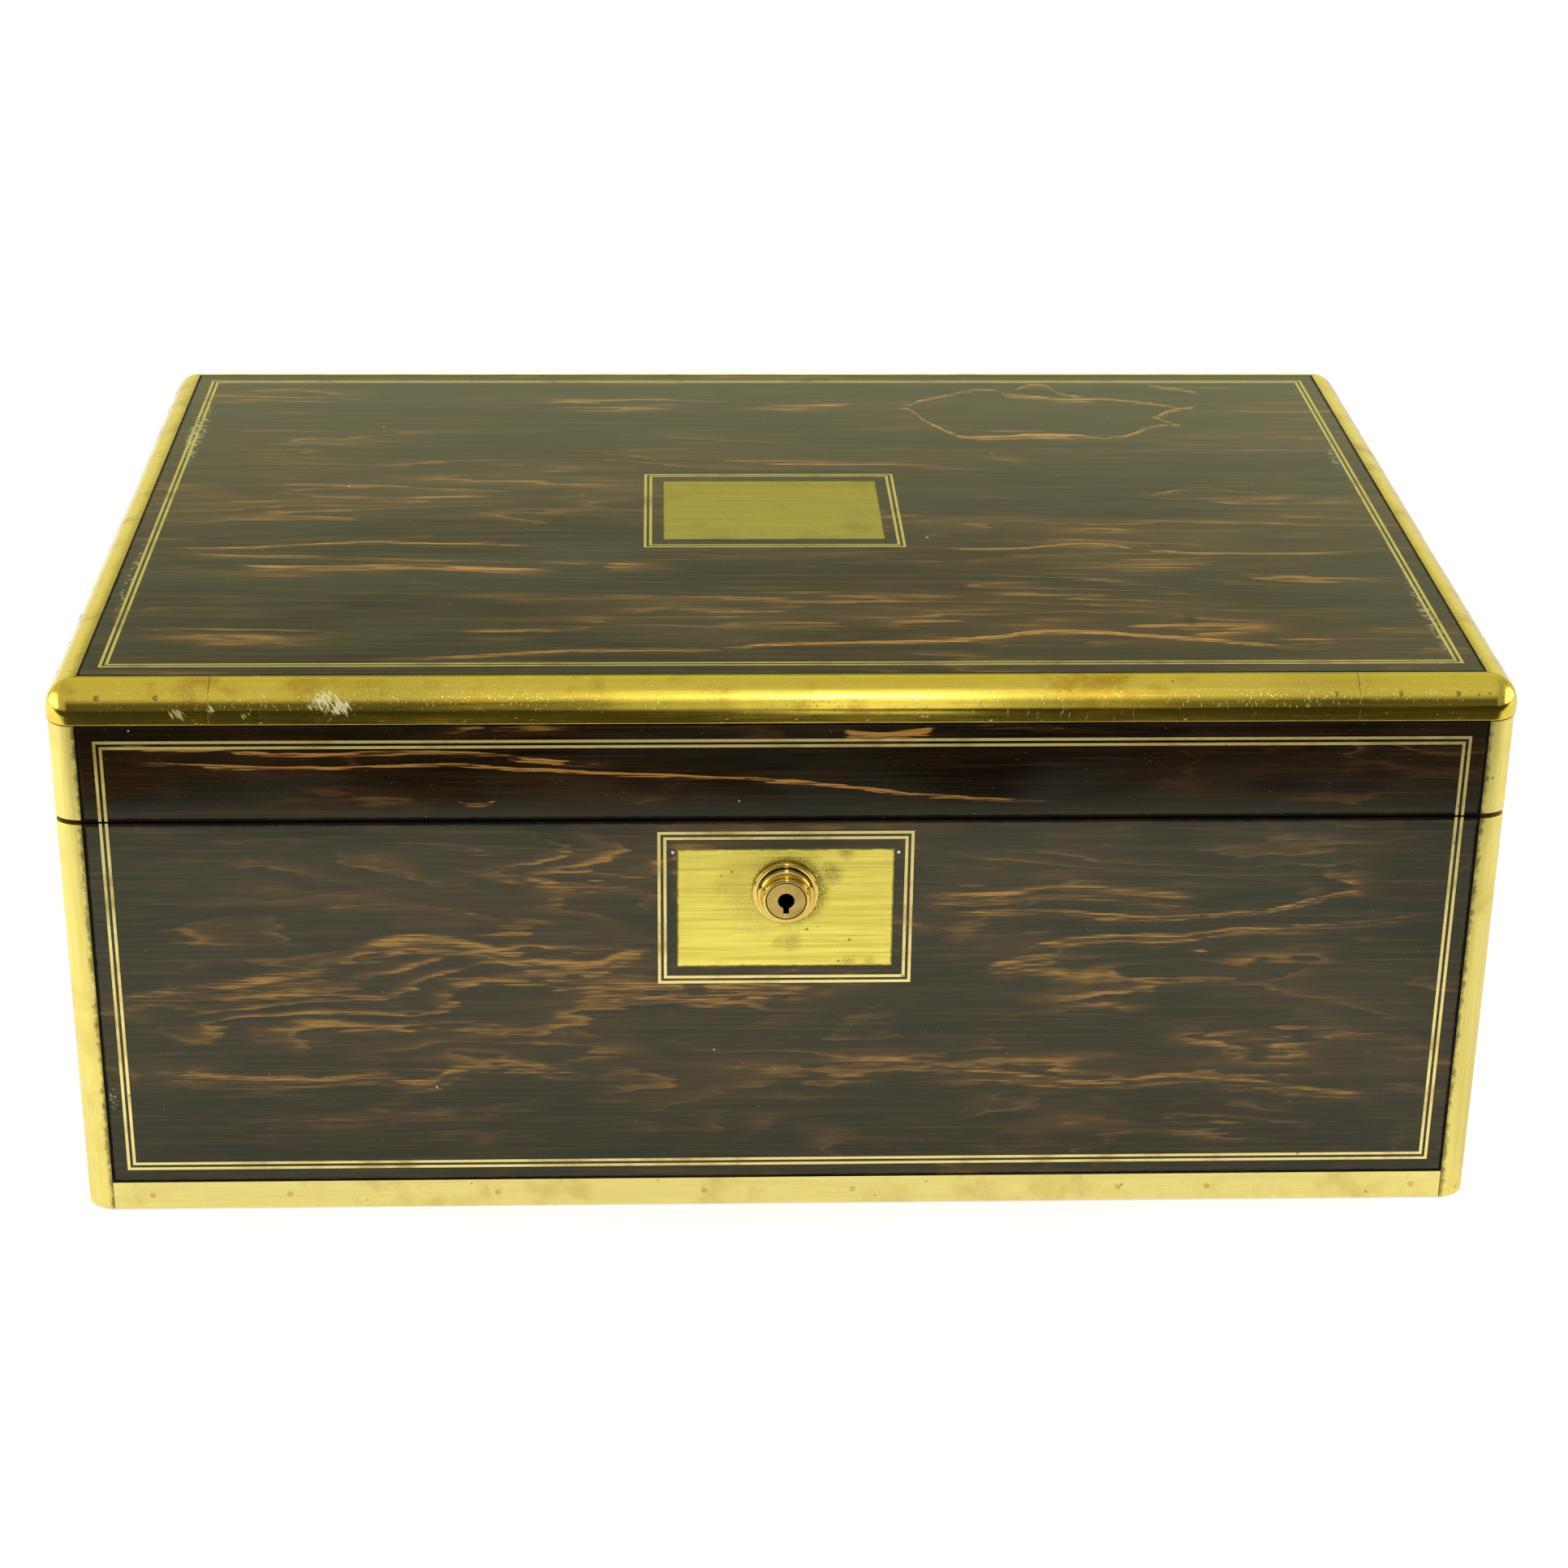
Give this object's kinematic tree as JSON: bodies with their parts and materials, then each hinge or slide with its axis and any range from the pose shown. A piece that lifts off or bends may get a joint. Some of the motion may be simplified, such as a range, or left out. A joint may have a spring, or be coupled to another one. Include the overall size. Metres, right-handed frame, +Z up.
{
  "type": "writing slope",
  "caption": "Brass-bound wooden writing slope: a locking box whose lid folds flat to form a sloping leather desk over paper space, with pen tray and ink bottles behind.",
  "frame": {"origin": "centre of the underside of the box", "axes": "+X along the width, +Y from the lock face to the hinge side, +Z up"},
  "size_m": [0.4068, 0.2957, 0.165],
  "materials": {
    "carcass_mahogany": "mahogany",
    "pine_board": "plain softwood",
    "coromandel_veneer": "figured near-black veneer, french polished",
    "edge_brass": "worn polished brass",
    "string_brass": "inlaid brass, flush",
    "baize": "green baize",
    "plate_brass": "brushed brass",
    "nozzle_brass": "turned brass",
    "lock_brass": "dull sheet brass",
    "fitting_brass": "brass",
    "fitted_wood": "mahogany, polished",
    "bottle_glass": "clear cut glass",
    "flap_wood": "mahogany, polished",
    "leather": "green writing leather",
    "cap_brass": "turned brass"
  },
  "bodies": {
    "base": {"base_front_wall": "carcass_mahogany", "base_back_wall": "carcass_mahogany", "base_left_wall": "carcass_mahogany", "base_right_wall": "carcass_mahogany", "base_bottom_board": "pine_board", "base_front_veneer": "coromandel_veneer", "base_back_veneer": "coromandel_veneer", "base_side_veneers": "coromandel_veneer", "base_corner_straps": "edge_brass", "foot_strips": "edge_brass", "base_stringing": "string_brass", "underside_baize": "baize", "lock_plate": "plate_brass", "lock_nozzle": "nozzle_brass", "lock_case": "lock_brass", "lock_cover": "lock_brass", "lock_selvedge": "fitting_brass", "base_hinge_leaves": "fitting_brass", "hinge_pins": "fitting_brass", "compartment_floor": "fitted_wood", "compartment_divider": "fitted_wood", "ink_partitions": "fitted_wood", "pen_tray": "fitted_wood", "ink_bottle_left": "bottle_glass", "ink_bottle_right": "bottle_glass", "base_flap_rail": "carcass_mahogany", "base_flap_bearers": "carcass_mahogany", "base_flap_hinges": "fitting_brass"},
    "lid": {"lid_top_board": "pine_board", "lid_front_wall": "carcass_mahogany", "lid_back_wall": "carcass_mahogany", "lid_left_wall": "carcass_mahogany", "lid_right_wall": "carcass_mahogany", "lid_top_veneer": "coromandel_veneer", "lid_front_veneer": "coromandel_veneer", "lid_back_veneer": "coromandel_veneer", "lid_side_veneers": "coromandel_veneer", "rim_strips": "edge_brass", "rim_corners": "edge_brass", "lid_corner_straps": "edge_brass", "lid_stringing": "string_brass", "name_plate": "plate_brass", "link_plate": "fitting_brass", "lid_hinge_leaves": "fitting_brass", "lid_flap_rails": "carcass_mahogany", "lid_flap_bearers": "carcass_mahogany", "lid_flap_hinges": "fitting_brass"},
    "upper_flap": {"upper_flap_board": "flap_wood", "upper_flap_leather": "leather", "upper_flap_hinges": "fitting_brass", "upper_flap_tab": "leather"},
    "lower_flap": {"lower_flap_board": "flap_wood", "lower_flap_leather": "leather", "lower_flap_hinges": "fitting_brass"},
    "flap_catch": {"flap_catch": "fitting_brass"},
    "lock_bolt": {"lock_bolt": "lock_brass"},
    "lock_barrel": {"lock_barrel": "nozzle_brass"},
    "ink_cap_left": {"ink_cap_left": "cap_brass"},
    "ink_cap_right": {"ink_cap_right": "cap_brass"}
  },
  "joints": [
    {"name": "lid_hinge", "type": "hinge", "parent": "base", "child": "lid", "pos_m": [0, 0.1438, 0.0825], "axis": [-1, 0, 0], "range_deg": [0, 180]},
    {"name": "upper_flap_hinge", "type": "hinge", "parent": "base", "child": "upper_flap", "pos_m": [0, 0.11881, 0.08395], "axis": [-1, 0, 0], "range_deg": [0, 75]},
    {"name": "lower_flap_hinge", "type": "hinge", "parent": "lid", "child": "lower_flap", "pos_m": [0, 0.11945, 0.08831], "axis": [1, 0, 0], "range_deg": [0, 75]},
    {"name": "flap_catch_turn", "type": "hinge", "parent": "lid", "child": "flap_catch", "pos_m": [0, -0.11913, 0.12341], "axis": [0, 0.1456, 0.9893], "range_deg": [0, 90]},
    {"name": "lock_barrel_turn", "type": "hinge", "parent": "base", "child": "lock_barrel", "pos_m": [0, -0.143, 0.1023], "axis": [0, 1, 0], "range_deg": [0, 90]},
    {"name": "lock_bolt_slide", "type": "slide", "parent": "base", "child": "lock_bolt", "axis": [1, 0, 0], "range_m": [0, 0.005]},
    {"name": "ink_cap_left_turn", "type": "hinge", "parent": "base", "child": "ink_cap_left", "pos_m": [-0.168, -0.107, 0.10087], "axis": [0, 0, 1], "range_deg": [0, 270]},
    {"name": "ink_cap_right_turn", "type": "hinge", "parent": "base", "child": "ink_cap_right", "pos_m": [0.168, -0.107, 0.10087], "axis": [0, 0, 1], "range_deg": [0, 270]}
  ],
  "couplings": [
    {"joint": "upper_flap_hinge", "follows": "lid_hinge", "ratio": 0.4166},
    {"joint": "lower_flap_hinge", "follows": "lid_hinge", "ratio": 0.4166},
    {"joint": "lock_bolt_slide", "follows": "lock_barrel_turn", "m_per_rad": 0.003183}
  ]
}
